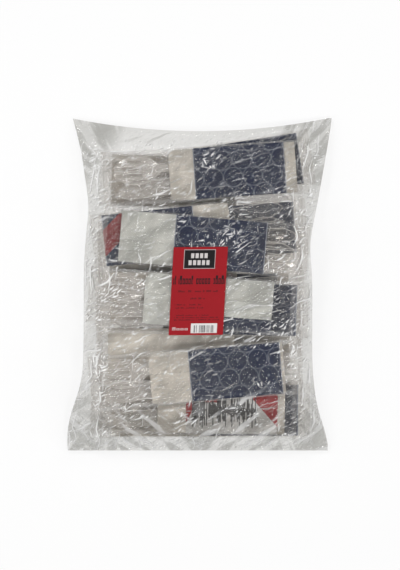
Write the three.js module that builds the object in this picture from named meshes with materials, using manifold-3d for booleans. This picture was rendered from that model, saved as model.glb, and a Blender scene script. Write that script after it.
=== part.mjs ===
// A clear bag of wrapped plastic cutlery sets, lying on its back.
// Millimetres, +Z up. X runs across the bag, +Y towards its top seal, and the origin is on the floor
// under the bag's middle. Every set is a clear sleeve round a fork, spoon and knife, a folded napkin
// and a wet wipe sachet. The sets lie in a loose pile, and the bag's film is drawn over the pile.
import * as THREE from "three";
import { mergeVertices } from "three/addons/utils/BufferGeometryUtils.js";
import Module from "manifold-3d";

const wasm = await Module();
wasm.setup();

// Driving dimensions of the outer bag
const BAG_HEIGHT = 349; // bottom seal to top seal
const SIDE_ROOM = 11; // from the ends of the sets to the bag's sides, where the pile pulls them in
const END_ROOM = 13; // from the outermost sets to the bag's ends
const TOP_FLARE = 17.5; // how much further out than the waist the flat corners are, on each side
const BOTTOM_FLARE = 19;
const TOP_SKEW = 5; // the top seal sits this far to the right of the bottom one
const TOP_SAG = 14; // the top seal dips this far between its corners
const BAG_WALL = 0.5;
const BAG_SEAL = 5; // welded band at both ends
const BAG_AIR = 0.8; // least air between the two films inside the seals
const SEAL_LEVEL = 5; // height of the end seals above the floor
const SIDE_LEVEL = 20; // height of the rounded sides above the floor
const SIDE_ROUND = 15.5; // how steeply the film rises from its edge, in mm of rise at 1 mm in
const FILM_MARGIN = 3; // the film stays this far clear of a set's sides
const FILM_ROUNDS = 300; // rounds of easing that draw the film taut
const BAG_COLUMNS = 17;
const BAG_ROWS = 30;
const ROW_CROWDING = 0.65; // 0 for even rows, 1 for rows that crowd towards the seals
const VENT_RADIUS = 2.5;
const VENT_COLUMN = 4; // the vent is at this crossing of the film's grid, counted from the left
const VENT_ROW = 2; // and from the top seal

// Driving dimensions of one wrapped set
const GAP = 0.35; // between pieces that lie on each other
const SLEEVE_LENGTH = 214;
const SLEEVE_WIDTH = 58;
const SLEEVE_WALL = 0.35;
const SLEEVE_SEAL = 6; // crimped band at both ends
const SLEEVE_SHOULDER = 6; // from the crimp to full height
const SLEEVE_EDGE = 1.5; // rounding of the long sides
const PINHOLE_RADIUS = 1.2;
const CUTLERY_LENGTH = 165;
const PLASTIC = 1.6; // wall of the moulded cutlery
const HANDLE_WIDTH = 11;
const NECK_WIDTH = 6.5;
const BOWL_LENGTH = 50;
const BOWL_WIDTH = 31;
const BOWL_DEPTH = 3.6;
const FORK_RISE = 2.3; // how far the fork's head is bent up
const FORK_HEAD_LENGTH = 46;
const FORK_HEAD_WIDTH = 24;
const TINE_LENGTH = 30;
const TINE_COUNT = 4;
const TINE_WIDTH = 3.4;
const BLADE_LENGTH = 72;
const BLADE_WIDTH = 17;
const NEST = 0.2; // how far nested handles press into each other
const FORK_SPLAY = 0.6; // degrees between the spoon and the fork that lies on it
const KNIFE_SPLAY = 5.5; // degrees between the spoon and the knife laid across its handle
const SPOON_ASIDE = 8; // from the middle of the sleeve to the spoon
const NAPKIN_INTO_NECK = 2; // the napkin starts this many bowl depths past the spoon's bowl
const NAPKIN_WIDTH = 53;
const NAPKIN_THICKNESS = 1.8;
const NAPKIN_FLAP = 31; // width of the folded-over half
const SACHET_LENGTH = 95;
const SACHET_WIDTH = 53;
const SACHET_THICKNESS = 1.8;
const SACHET_RIM = 9; // from the crimped edge to full thickness
const SACHET_FOIL = 0.5;
const SACHET_AT = 0.12; // how far from the handle end the sachet lies, as a share of the room it has

// Driving dimensions of the label
const LABEL_WIDTH = 56;
const LABEL_HEIGHT = 91;
const LABEL_THICKNESS = 0.3;
const LABEL_PLACE = { across: -0.18, up: -0.045, turn: -4 };

// Heights inside one set, from its underside
const cutleryLevel = SLEEVE_WALL + GAP;
const napkinLevel = cutleryLevel + 2 * PLASTIC - NEST + GAP;
const sachetLevel = napkinLevel + NAPKIN_THICKNESS + GAP;
const setHeight = sachetLevel + SACHET_THICKNESS + GAP + SLEEVE_WALL;

// Places along one set, whose cutlery heads are at the -X end
const sleeveInside = SLEEVE_LENGTH / 2 - SLEEVE_SEAL - SLEEVE_SHOULDER;
const cutleryStart = -sleeveInside + GAP;
const napkinEnd = sleeveInside - GAP;
const napkinStart = cutleryStart + BOWL_LENGTH + NAPKIN_INTO_NECK * BOWL_DEPTH;
const sachetRoom = napkinEnd - cutleryStart - SACHET_LENGTH;

// The pile, from the floor up. across and up are shares of the room there is to either side of the
// bag's middle. turn is in degrees, and 180 puts the cutlery heads on the right.
// A set that faces down shows its sachet to the floor, and in one with its napkin over it the sachet
// lies below the napkin. An inner set is hidden by the others all round, so it is one sealed solid.
const PILE = [
  { name: "set_01", across: 0.18, up: 0.806, turn: 178, faceDown: true, sachet: "navy" },
  { name: "set_02", across: 0, up: 0.2239, turn: 181.5, faceDown: true, sachet: "white" },
  { name: "set_03", across: -0.09, up: -0.3657, turn: 1.5, faceDown: true, sachet: "navy" },
  { name: "set_04", across: 0.09, up: -0.9552, turn: -1.5, faceDown: true, sachet: "navy" },
  { name: "set_05", across: 1.05, up: 0.878, turn: 7, sachet: "navy", sachetAt: 0 },
  { name: "inner_set_1", across: 0.09, up: 0.3254, turn: 180, inner: true },
  { name: "inner_set_2", across: -0.18, up: -0.1157, turn: 0, inner: true },
  { name: "inner_set_3", across: 0.09, up: -0.5582, turn: 180, inner: true },
  { name: "inner_set_4", across: 0.27, up: -1, turn: 180, inner: true },
  { name: "set_06", across: 0.55, up: 0.8731, turn: 4, sachet: "navy" },
  { name: "inner_set_5", across: 0.45, up: 0.3433, turn: 0, inner: true },
  { name: "inner_set_6", across: 0.18, up: -0.1045, turn: 180, inner: true },
  { name: "inner_set_7", across: -0.09, up: -0.547, turn: 180, inner: true },
  { name: "inner_set_8", across: 0.73, up: -0.9896, turn: 0, inner: true },
  { name: "set_07", across: -0.55, up: 0.3881, turn: 185, sachet: "white", sachetAt: 0 },
  { name: "set_08", across: 0.55, up: -0.1866, turn: -1.5, sachet: "navy", sachetAt: 0 },
  { name: "set_09", across: -0.55, up: -0.9664, turn: -1, sachet: "white", sachetAt: 0.08 },
  { name: "set_10", across: 0.55, up: 0.3209, turn: 175, sachet: "navy", sachetAt: 0.66, napkin: "cool" },
  { name: "set_11", across: -0.73, up: -0.1343, turn: -4.5, sachet: "navy", napkinOver: true, napkin: "cool" },
  { name: "set_12", across: -0.62, up: -0.7127, turn: 5, sachet: "navy", sachetAt: 0.03 },
];

const clearFilm = { color: 0xe4e6e6, roughness: 0.12, metalness: 0, transparent: true, opacity: 0.22 };
const materials = {
  bag: new THREE.MeshStandardMaterial(clearFilm),
  sleeve: new THREE.MeshStandardMaterial(clearFilm),
  cutlery: new THREE.MeshStandardMaterial({ color: 0xcfc8c0, roughness: 0.15, transparent: true, opacity: 0.5 }),
  warmNapkin: new THREE.MeshStandardMaterial({ color: 0xd6cdbf, roughness: 0.9 }),
  coolNapkin: new THREE.MeshStandardMaterial({ color: 0xd3d6cc, roughness: 0.9 }),
  navySachet: new THREE.MeshStandardMaterial({ color: 0x262d44, roughness: 0.35 }),
  whiteSachet: new THREE.MeshStandardMaterial({ color: 0xd9d2ce, roughness: 0.35 }),
  innerPack: new THREE.MeshStandardMaterial({ color: 0xbdb6ac, roughness: 0.4 }),
  label: new THREE.MeshStandardMaterial({ color: 0xb5212b, roughness: 0.5 }),
};

const radians = THREE.MathUtils.degToRad;
const clamp = THREE.MathUtils.clamp;

// A closed geometry as a manifold solid, and back
function solid(geometry) {
  const bare = geometry.clone();
  bare.deleteAttribute("normal");
  bare.deleteAttribute("uv");
  const merged = mergeVertices(bare, 1e-4);
  const triVerts = new Uint32Array(merged.index.array);
  const vertProperties = new Float32Array(merged.attributes.position.array);
  return new wasm.Manifold(new wasm.Mesh({ numProp: 3, vertProperties, triVerts }));
}

function geometryOf(made) {
  const mesh = made.getMesh();
  const geometry = new THREE.BufferGeometry();
  geometry.setAttribute("position", new THREE.BufferAttribute(mesh.vertProperties, 3));
  geometry.setIndex(new THREE.BufferAttribute(mesh.triVerts, 1));
  return geometry.toNonIndexed();
}

// A closed skin over a grid of columns of points: grid[i][j] holds x, y, bottom and top
function slab(grid) {
  const columns = grid.length;
  const rows = grid[0].length;
  const positions = [];
  for (const height of ["bottom", "top"]) {
    for (const column of grid) {
      for (const point of column) positions.push(point.x, point.y, point[height]);
    }
  }
  const lower = (i, j) => i * rows + j;
  const upper = (i, j) => columns * rows + i * rows + j;
  const faces = [];
  const quad = (a, b, c, d) => faces.push(a, b, c, a, c, d);
  for (let i = 0; i + 1 < columns; i++) {
    for (let j = 0; j + 1 < rows; j++) {
      quad(upper(i, j), upper(i + 1, j), upper(i + 1, j + 1), upper(i, j + 1));
      quad(lower(i, j), lower(i, j + 1), lower(i + 1, j + 1), lower(i + 1, j));
    }
    quad(lower(i, 0), lower(i + 1, 0), upper(i + 1, 0), upper(i, 0));
    quad(lower(i + 1, rows - 1), lower(i, rows - 1), upper(i, rows - 1), upper(i + 1, rows - 1));
  }
  for (let j = 0; j + 1 < rows; j++) {
    quad(lower(0, j + 1), lower(0, j), upper(0, j), upper(0, j + 1));
    quad(lower(columns - 1, j), lower(columns - 1, j + 1), upper(columns - 1, j + 1), upper(columns - 1, j));
  }
  const geometry = new THREE.BufferGeometry();
  geometry.setAttribute("position", new THREE.Float32BufferAttribute(positions, 3));
  geometry.setIndex(faces);
  return geometry;
}

// A film pouch: the slab over a grid, hollowed by its wall inside the rows and columns that are welded
function pouch(grid, wall, weldedColumns, weldedRows) {
  const hollow = grid.slice(weldedColumns, grid.length - weldedColumns).map((column) =>
    column.slice(weldedRows, column.length - weldedRows).map((point) => ({
      x: point.x,
      y: point.y,
      bottom: point.bottom + wall,
      top: point.top - wall,
    })),
  );
  return solid(slab(grid)).subtract(solid(slab(hollow)));
}

// A round punch through a film, to let the air out
function punch(radius, x, y, from, to) {
  const cutter = new THREE.CylinderGeometry(radius, radius, to - from, 8);
  cutter.rotateX(Math.PI / 2);
  cutter.translate(x, y, (from + to) / 2);
  return solid(cutter);
}

// One set's sleeve: a film tube crimped flat at both ends
function sleeveGrid() {
  const half = SLEEVE_LENGTH / 2;
  const middle = setHeight / 2;
  const crimp = { bottom: middle - SLEEVE_WALL, top: middle + SLEEVE_WALL };
  const mouth = { bottom: crimp.bottom - GAP, top: crimp.top + GAP };
  const full = { bottom: 0, top: setHeight };
  const ends = [
    [half, crimp],
    [half - SLEEVE_SEAL + GAP, crimp],
    [half - SLEEVE_SEAL, mouth],
    [sleeveInside, full],
  ];
  const stations = [...ends.map(([x, level]) => [-x, level]), ...ends.reverse()];
  const side = SLEEVE_WIDTH / 2;
  const lanes = [-side, -side + SLEEVE_EDGE, side - SLEEVE_EDGE, side];
  return stations.map(([x, level]) =>
    lanes.map((y) => {
      const tuck = Math.abs(y) < side || level !== full ? 0 : SLEEVE_EDGE;
      return { x, y, bottom: level.bottom + tuck, top: level.top - tuck };
    }),
  );
}

function sleeve() {
  const topFilm = setHeight - SLEEVE_WALL;
  const pinholeAt = { x: (cutleryStart + napkinStart) / 2, y: SLEEVE_WIDTH / 2 - 3 * SLEEVE_EDGE };
  const pinhole = punch(PINHOLE_RADIUS, pinholeAt.x, pinholeAt.y, topFilm - GAP, setHeight + GAP);
  return geometryOf(pouch(sleeveGrid(), SLEEVE_WALL, 2, 1).subtract(pinhole));
}

function innerPack() {
  const grid = sleeveGrid();
  const [end, full] = [0, 3];
  return slab([grid[end], grid[full], grid[grid.length - 1 - full], grid[grid.length - 1 - end]]);
}

// A thin moulding along X: each station gives x, the half width, the underside's level and how far
// the middle is dished below the rim
function moulding(stations, lanes) {
  return slab(
    stations.map(({ x, half, level, dish = 0 }) =>
      lanes.map((share) => {
        const bottom = level - dish * (1 - share * share);
        return { x, y: half * share, bottom, top: bottom + PLASTIC };
      }),
    ),
  );
}

// The handle that fork, spoon and knife share, from the neck to its rounded end
function handleStations(neckAt) {
  const end = CUTLERY_LENGTH;
  return [
    { x: neckAt, half: NECK_WIDTH / 2, level: 0 },
    { x: end - HANDLE_WIDTH / 2, half: HANDLE_WIDTH / 2, level: 0 },
    { x: end, half: HANDLE_WIDTH / 5, level: 0 },
  ];
}

function spoon() {
  const rim = BOWL_DEPTH;
  const bowl = [
    [0, 0.18, 0],
    [0.12, 0.62, 0.35],
    [0.45, 1, 1],
    [0.8, 0.7, 0.55],
    [1, NECK_WIDTH / BOWL_WIDTH, 0],
  ].map(([along, wide, deep]) => ({
    x: along * BOWL_LENGTH,
    half: (wide * BOWL_WIDTH) / 2,
    level: rim,
    dish: deep * BOWL_DEPTH,
  }));
  const neckAt = BOWL_LENGTH + 2.5 * BOWL_DEPTH;
  return solid(moulding([...bowl, ...handleStations(neckAt)], [-1, -0.4, 0.4, 1]));
}

// The fork's head is cut from a plate and bent up, and its handle starts at the neck
function fork() {
  const pitch = (FORK_HEAD_WIDTH - TINE_WIDTH) / (TINE_COUNT - 1);
  const neckAt = FORK_HEAD_LENGTH + 2.5 * BOWL_DEPTH;
  const plate = new THREE.Shape();
  plate.moveTo(neckAt + NEST, -NECK_WIDTH / 2);
  plate.lineTo(neckAt + NEST, NECK_WIDTH / 2);
  plate.lineTo(FORK_HEAD_LENGTH, NECK_WIDTH / 2);
  for (let n = TINE_COUNT - 1; n >= 0; n--) {
    const middle = (n - (TINE_COUNT - 1) / 2) * pitch;
    plate.lineTo(TINE_LENGTH, middle + TINE_WIDTH / 2);
    plate.lineTo(0, middle + TINE_WIDTH / 5);
    plate.lineTo(0, middle - TINE_WIDTH / 5);
    plate.lineTo(TINE_LENGTH, middle - TINE_WIDTH / 2);
  }
  plate.lineTo(FORK_HEAD_LENGTH, -NECK_WIDTH / 2);
  const head = new THREE.ExtrudeGeometry(plate, { depth: PLASTIC, bevelEnabled: false });
  const places = head.attributes.position;
  for (let n = 0; n < places.count; n++) {
    const intoHead = clamp((neckAt - places.getX(n)) / neckAt, 0, 1);
    places.setZ(n, places.getZ(n) + FORK_RISE * Math.sin(Math.PI * 0.7 * intoHead));
  }
  return solid(head).add(solid(moulding(handleStations(neckAt), [-1, 1])));
}

function knife() {
  const blade = [
    { x: 0, half: BLADE_WIDTH / 10, level: 0 },
    { x: BLADE_WIDTH * 0.6, half: BLADE_WIDTH / 2, level: 0 },
    { x: BLADE_LENGTH * 0.85, half: BLADE_WIDTH / 2, level: 0 },
  ];
  return solid(moulding([...blade, ...handleStations(BLADE_LENGTH)], [-1, 1]));
}

// Fork, spoon and knife as they are packed: the fork nested in the spoon, and the knife laid across
// the end of its handle, pressed together where they touch
function cutlery() {
  const acrossLevel = cutleryLevel + PLASTIC - NEST;
  const lay = (piece, level, turn, y) =>
    piece
      .translate([-CUTLERY_LENGTH, 0, 0])
      .rotate([0, 0, turn])
      .translate([cutleryStart + CUTLERY_LENGTH, y, level]);
  const spoonLaid = lay(spoon(), cutleryLevel, 0, SPOON_ASIDE);
  const forkLaid = lay(fork(), acrossLevel, -FORK_SPLAY, SPOON_ASIDE);
  const knifeLaid = lay(knife(), acrossLevel, KNIFE_SPLAY, 0);
  return geometryOf(spoonLaid.add(forkLaid).add(knifeLaid));
}

// A paper napkin folded to a strip, with its last fold showing as a step along its length
function napkin(level) {
  const ply = NAPKIN_THICKNESS / 2;
  const side = NAPKIN_WIDTH / 2;
  const fold = ply / 2;
  const profile = new THREE.Shape();
  profile.moveTo(-side + fold, 0);
  profile.lineTo(side, 0);
  profile.lineTo(side, ply);
  profile.lineTo(-side + NAPKIN_FLAP, ply);
  profile.lineTo(-side + NAPKIN_FLAP, NAPKIN_THICKNESS);
  profile.lineTo(-side + fold, NAPKIN_THICKNESS);
  profile.quadraticCurveTo(-side, NAPKIN_THICKNESS, -side, ply);
  profile.quadraticCurveTo(-side, 0, -side + fold, 0);
  const strip = new THREE.ExtrudeGeometry(profile, { depth: napkinEnd - napkinStart, bevelEnabled: false, curveSegments: 2 });
  strip.rotateX(Math.PI / 2).rotateZ(Math.PI / 2);
  strip.translate(napkinStart, 0, level);
  return strip;
}

// A foil sachet: a low pillow that thins out to its crimped edges
function sachet(level, at) {
  const rings = (size) => [-size / 2, -size / 2 + SACHET_RIM, size / 2 - SACHET_RIM, size / 2];
  const plump = [0, 1, 1, 0];
  const centre = napkinEnd - at * sachetRoom - SACHET_LENGTH / 2;
  const grid = rings(SACHET_LENGTH).map((x, i) =>
    rings(SACHET_WIDTH).map((y, j) => ({
      x: centre + x,
      y,
      bottom: level,
      top: level + SACHET_FOIL + (SACHET_THICKNESS - SACHET_FOIL) * Math.min(plump[i], plump[j]),
    })),
  );
  return slab(grid);
}

// The four corners of a rectangle turned about its centre
function corners({ x, y, turn, length = SLEEVE_LENGTH + GAP, width = SLEEVE_WIDTH + GAP }) {
  const across = new THREE.Vector2(length / 2, 0).rotateAround(new THREE.Vector2(), radians(turn));
  const along = new THREE.Vector2(0, width / 2).rotateAround(new THREE.Vector2(), radians(turn));
  const centre = new THREE.Vector2(x, y);
  return [
    centre.clone().add(across).add(along),
    centre.clone().sub(across).add(along),
    centre.clone().sub(across).sub(along),
    centre.clone().add(across).sub(along),
  ];
}

// True if two sets lie over each other, seen from above
function crosses(a, b) {
  const pairs = [a, b].map(corners);
  const apart = (turn) => {
    const axis = new THREE.Vector2(Math.cos(radians(turn)), Math.sin(radians(turn)));
    const [spanA, spanB] = pairs.map((points) => points.map((p) => p.dot(axis)));
    return Math.min(...spanA) > Math.max(...spanB) || Math.min(...spanB) > Math.max(...spanA);
  };
  return ![a.turn, a.turn + 90, b.turn, b.turn + 90].some(apart);
}

// Each set comes to rest on the highest one below it
const floorLevel = BAG_WALL + GAP;
const roomUp = BAG_HEIGHT / 2 - END_ROOM - SLEEVE_WIDTH / 2;
const placed = (item) => ({ ...item, x: item.across * SIDE_ROOM, y: item.up * roomUp });
const pile = [];
for (const set of PILE.map(placed)) {
  const below = pile.filter((other) => crosses(set, other)).map((other) => other.level + setHeight + GAP);
  pile.push({ ...set, level: Math.max(floorLevel, ...below) });
}

// How far a point is outside a turned rectangle
function distanceTo({ x, y, turn, length, width }, px, py) {
  const local = new THREE.Vector2(px - x, py - y).rotateAround(new THREE.Vector2(), -radians(turn));
  const dx = Math.max(0, Math.abs(local.x) - length / 2);
  const dy = Math.max(0, Math.abs(local.y) - width / 2);
  return Math.hypot(dx, dy);
}

// The bag's outline: a waist between wider, flat ends
const bottomY = -BAG_HEIGHT / 2;
const waist = SLEEVE_LENGTH / 2 + SIDE_ROOM;
const middleX = (TOP_FLARE + TOP_SKEW - BOTTOM_FLARE) / 2;
function sideAt(y, sign) {
  const share = y / (BAG_HEIGHT / 2);
  const flare = share > 0 ? (TOP_FLARE + sign * TOP_SKEW) * share ** 2 : BOTTOM_FLARE * share ** 4;
  return sign * (waist + flare) - middleX;
}

function topEdgeAt(x) {
  const share = x / (waist + TOP_FLARE);
  return BAG_HEIGHT / 2 - TOP_SAG * (1 - clamp(share ** 2, 0, 1));
}

// The film rests on the sets, is drawn down between them and lies flat under the label
const labelPlace = { ...placed(LABEL_PLACE), length: LABEL_WIDTH, width: LABEL_HEIGHT };
const filmCell = ((BAG_HEIGHT / BAG_ROWS) * Math.PI) / 2;
const underLabel = { ...labelPlace, length: LABEL_WIDTH + 4 * filmCell, width: LABEL_HEIGHT + 4 * filmCell };
const labelRests = Math.max(...pile.filter((set) => crosses(underLabel, set)).map((set) => set.level + setHeight));
function clearAbove(x, y) {
  const over = pile.map((set) => {
    const sleeveRoom = { ...set, length: SLEEVE_LENGTH, width: SLEEVE_WIDTH };
    return distanceTo(sleeveRoom, x, y) > FILM_MARGIN ? 0 : set.level + setHeight;
  });
  if (distanceTo(labelPlace, x, y) < FILM_MARGIN) over.push(labelRests);
  return Math.max(...over) + GAP + BAG_WALL;
}

function bagPoint(across, up) {
  const level = bottomY + up * BAG_HEIGHT;
  const left = sideAt(level, -1);
  const right = sideAt(level, 1);
  const x = left + across * (right - left);
  const top = topEdgeAt(x);
  const y = bottomY + up * (top - bottomY);
  const fromSide = Math.min(x - left, right - x);
  const fromEnd = Math.max(0, Math.min(y - bottomY, top - y) - BAG_SEAL);
  const edge = SEAL_LEVEL + (SIDE_LEVEL - SEAL_LEVEL) * (1 - Math.abs((2 * y) / BAG_HEIGHT) ** 4);
  const rise = SIDE_ROUND * Math.sqrt(Math.max(0, Math.min(fromSide, fromEnd)));
  const air = fromEnd > 0 && fromSide > 0 ? BAG_AIR : 0;
  const bottom = Math.max(0, edge - rise - BAG_WALL);
  const least = bottom + 2 * BAG_WALL + air;
  return { x, y, bottom, least, most: Math.max(least, edge + rise + BAG_WALL) };
}

// The highest point of the pile in the cells round a crossing of the film's grid
function restOf(grid, i, j) {
  const at = (n, m) => grid[clamp(n, 0, grid.length - 1)][clamp(m, 0, grid[0].length - 1)];
  const [a, b, c, d] = [at(i - 1, j - 1), at(i + 1, j - 1), at(i - 1, j + 1), at(i + 1, j + 1)];
  const shares = [0, 0.125, 0.25, 0.375, 0.5, 0.625, 0.75, 0.875, 1];
  const lerp = THREE.MathUtils.lerp;
  const levels = shares.flatMap((s) =>
    shares.map((t) =>
      clearAbove(lerp(lerp(a.x, b.x, s), lerp(c.x, d.x, s), t), lerp(lerp(a.y, b.y, s), lerp(c.y, d.y, s), t)),
    ),
  );
  return Math.max(...levels);
}

// Where a film drawn straight between its neighbours would be, along the bag and across it
function drawnLevel(grid, tops, i, j) {
  if (i === 0 || j === 0 || i === grid.length - 1 || j === grid[0].length - 1) return 0;
  const [left, right, below, above] = [grid[i - 1][j], grid[i + 1][j], grid[i][j - 1], grid[i][j + 1]];
  const { x, y } = grid[i][j];
  const across = THREE.MathUtils.mapLinear(x, left.x, right.x, tops[i - 1][j], tops[i + 1][j]);
  const along = THREE.MathUtils.mapLinear(y, below.y, above.y, tops[i][j - 1], tops[i][j + 1]);
  return (across + along) / 2;
}

function drawFilm(grid) {
  const rest = grid.map((column, i) => column.map((_, j) => restOf(grid, i, j)));
  const held = (level, { least, most }) => clamp(level, least, most);
  let tops = grid.map((column, i) => column.map((point, j) => held(rest[i][j], point)));
  for (let round = 0; round < FILM_ROUNDS; round++) {
    tops = grid.map((column, i) =>
      column.map((point, j) => held(Math.max(rest[i][j], drawnLevel(grid, tops, i, j)), point)),
    );
  }
  grid.forEach((column, i) => column.forEach((point, j) => (point.top = tops[i][j])));
  return grid;
}

// Rows are closer together near the seals, and columns near the rounded sides
function bagGrid() {
  const shareOf = (n, count, crowding) => {
    const crowded = (1 - Math.cos((Math.PI * n) / count)) / 2;
    return n / count + crowding * (crowded - n / count);
  };
  const sealShare = BAG_SEAL / BAG_HEIGHT;
  const ups = [0];
  for (let n = 0; n <= BAG_ROWS; n++) {
    ups.push(sealShare + (1 - 2 * sealShare) * shareOf(n, BAG_ROWS, ROW_CROWDING));
  }
  ups.push(1);
  const grid = [];
  for (let n = 0; n <= BAG_COLUMNS; n++) grid.push(ups.map((up) => bagPoint(shareOf(n, BAG_COLUMNS, 1), up)));
  return drawFilm(grid);
}

function bag() {
  const grid = bagGrid();
  const at = grid[VENT_COLUMN][BAG_ROWS + 1 - VENT_ROW];
  const vent = punch(VENT_RADIUS, at.x, at.y, (at.bottom + at.top) / 2, at.top + setHeight);
  return geometryOf(pouch(grid, BAG_WALL, 1, 2).subtract(vent));
}

function named(name, geometry, material) {
  const mesh = new THREE.Mesh(geometry, material);
  mesh.name = name;
  return mesh;
}

// One wrapped set, its underside at z = 0
function wrappedSet({ name, inner, sachet: print, napkin: tint, napkinOver, sachetAt = SACHET_AT }) {
  const group = new THREE.Group();
  if (inner) {
    group.add(named(name, innerPack(), materials.innerPack));
    return group;
  }
  const paper = tint === "cool" ? materials.coolNapkin : materials.warmNapkin;
  const foil = print === "white" ? materials.whiteSachet : materials.navySachet;
  const upperLevel = napkinLevel + SACHET_THICKNESS + GAP;
  group.add(named(`${name}_sleeve`, sleeve(), materials.sleeve));
  group.add(named(`${name}_cutlery`, cutlery(), materials.cutlery));
  group.add(named(`${name}_napkin`, napkin(napkinOver ? upperLevel : napkinLevel), paper));
  group.add(named(`${name}_wet_wipe`, sachet(napkinOver ? napkinLevel : sachetLevel, sachetAt), foil));
  return group;
}

function label() {
  const card = new THREE.BoxGeometry(LABEL_WIDTH, LABEL_HEIGHT, LABEL_THICKNESS);
  card.rotateZ(radians(labelPlace.turn));
  const underside = labelRests + GAP + BAG_WALL + GAP;
  card.translate(labelPlace.x, labelPlace.y, underside + LABEL_THICKNESS / 2);
  return card;
}

const pack = new THREE.Group();
pack.name = "cutlery_pack";
pack.add(named("outer_bag", bag(), materials.bag));
pack.add(named("label", label(), materials.label));
for (const set of pile) {
  const group = wrappedSet(set);
  if (set.faceDown) {
    group.children.forEach((mesh) => mesh.geometry.rotateX(Math.PI).translate(0, 0, setHeight));
  }
  group.position.set(set.x, set.y, set.level);
  group.rotation.z = radians(set.turn);
  pack.add(group);
}

export default pack;
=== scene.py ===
"""A clear bag of wrapped cutlery sets, seen from above."""

import math

import bpy
import numpy as np
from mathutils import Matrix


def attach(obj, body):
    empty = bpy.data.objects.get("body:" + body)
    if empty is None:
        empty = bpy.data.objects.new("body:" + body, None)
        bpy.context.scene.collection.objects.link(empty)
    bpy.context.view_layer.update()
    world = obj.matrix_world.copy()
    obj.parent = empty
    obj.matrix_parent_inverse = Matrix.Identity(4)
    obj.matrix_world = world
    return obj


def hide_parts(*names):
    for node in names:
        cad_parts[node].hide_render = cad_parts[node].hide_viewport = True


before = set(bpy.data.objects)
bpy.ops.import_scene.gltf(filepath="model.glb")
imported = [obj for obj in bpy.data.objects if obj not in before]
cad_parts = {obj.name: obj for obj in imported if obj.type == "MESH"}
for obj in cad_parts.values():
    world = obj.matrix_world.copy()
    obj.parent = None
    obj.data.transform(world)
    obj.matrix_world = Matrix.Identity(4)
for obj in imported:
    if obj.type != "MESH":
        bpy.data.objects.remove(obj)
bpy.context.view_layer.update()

MM = 0.001
# Flat places are kept as texture coordinates, this many to a metre
UV_SCALE = 10.0

# One wrapped set, in millimetres, with its cutlery heads at the -X end
SET_HEIGHT = 8.7
LAYER_GAP = 0.35
FLOOR_LEVEL = 0.85
SLEEVE_HALF = 107.0
SLEEVE_SIDE = 29.0
SLEEVE_END = 86.0
SLEEVE_FULL = 84.0
CRIMP = 5.0
CUTLERY_START = -94.6
CUTLERY_LENGTH = 165.0
CUTLERY_LEVEL = 0.7
PLASTIC = 1.6
RIM = 0.8
# Each sleeve has its own stretch of the film's pattern, this far from the next
SHEET = 400.0
NAPKIN_START = -37.4
NAPKIN_END = 94.6
NAPKIN_SIDE = 26.5
FLAP_SIDE = 15.5
FLAP_AT = -11.0
CORNER = 7.0
PAD_EDGE = 0.25
PAD_UNDER = 0.2
LOWER_LEVEL = 4.05
UPPER_LEVEL = 6.2
SACHET_LENGTH = 95.0
SACHET_SIDE = 26.5
SACHET_ROOM = 94.3
SACHET_THICKNESS = 1.8
HEM = 0.9

# The bag, in millimetres
BAG_BOTTOM = -174.5
BAG_TOP = 174.5
TOP_SAG = 14.0
TOP_HALF = 135.5
SEAL = 5.0
SEAL_LEVEL = 5.0
SIDE_LEVEL = 20.0
# Where its sides are, from the bottom seal to the top: how far up, and how far across
LEFT_SIDE = [
    (-174.5, -138.4), (-158, -138.6), (-147, -138), (-139, -136), (-122, -129.8), (-105, -124.6),
    (-97, -122.2), (-60, -121), (20, -120.8), (54, -118.5), (71, -116.6), (84, -115.4),
    (96, -116.6), (113, -119.7), (130, -121.8), (147, -125), (164, -130), (174.5, -133),
]
RIGHT_SIDE = [
    (-174.5, 134.5), (-164, 134.4), (-155, 132.3), (-147, 129.1), (-139, 126), (-122, 121.8), (-105, 119.5),
    (-80, 117.6), (0, 117.8), (21, 117), (37, 114.8), (54, 116.6), (71, 120), (96, 125), (113, 128.1),
    (130, 131.2), (147, 134.4), (164, 137.5), (174.5, 138.7),
]
# The film over a set: how far it clears its sides and its top, and how the set's top falls off at its ends
FILM_MARGIN = 2.0
FILM_CLEAR = 0.6
FALL_FROM = 93.0
FALL_SLOPE = 0.3
FALL_MOST = 5.0
# The height where there is no set
NO_SET = -9.0
# How much the film bulges in each round of easing, and how deep it is crushed at the most
FILM_LIFT = 0.004
CRUSH_MOST = 3.2
# Creases lie this far from the bag's middle at the most
CREASED = (118, 165)
BAG_COLUMNS = 156
BAG_ROWS = 198
COARSE_COLUMNS = 79
COARSE_ROWS = 100
EASING_ROUNDS = 500
# How far in from its edges the film is crushed in full, and rounded in full at the back
FREE_RUN = 9
BACK_RUN = 14
LABEL = {"x": -1.3, "y": -7.0, "turn": -1.4, "skew": 1.9, "width": 56.0, "height": 91.0}
LABEL_LEVEL = 46.95
LABEL_MARGIN = 4.0
LABEL_THICKNESS = 0.3
LABEL_COLUMNS = 30
LABEL_LINES = 44
# The slanted band on one sachet, in the sachet's own millimetres
BAND = {"x": 90.0, "y": -1.4, "turn": 40.0, "half": 10.5, "from": 70.0}
# Where the film is crushed the most and carries painted highlights: each place and half sizes
SPARKS = (
    (-108.0, -124.0, 10.0, 9.0), (-108.0, 134.0, 11.0, 13.0), (10.0, 126.0, 15.0, 11.0),
    (-12.0, 28.0, 15.0, 8.0), (98.0, -60.0, 9.0, 15.0), (-102.0, -88.0, 10.0, 16.0),
    (106.0, 66.0, 8.0, 14.0), (62.0, -101.0, 10.0, 7.0), (24.0, 50.0, 24.0, 12.0), (-92.0, -8.0, 18.0, 15.0),
)
# Where the film lies smooth over a sachet, with fewer painted highlights and less painted shade: its middle,
# half sizes and how smooth
CALM = ((36.0, -92.0, 52.0, 26.0, 0.85), (44.0, 118.0, 46.0, 25.0, 0.65), (-50.0, 52.0, 26.0, 20.0, 0.5))
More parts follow.
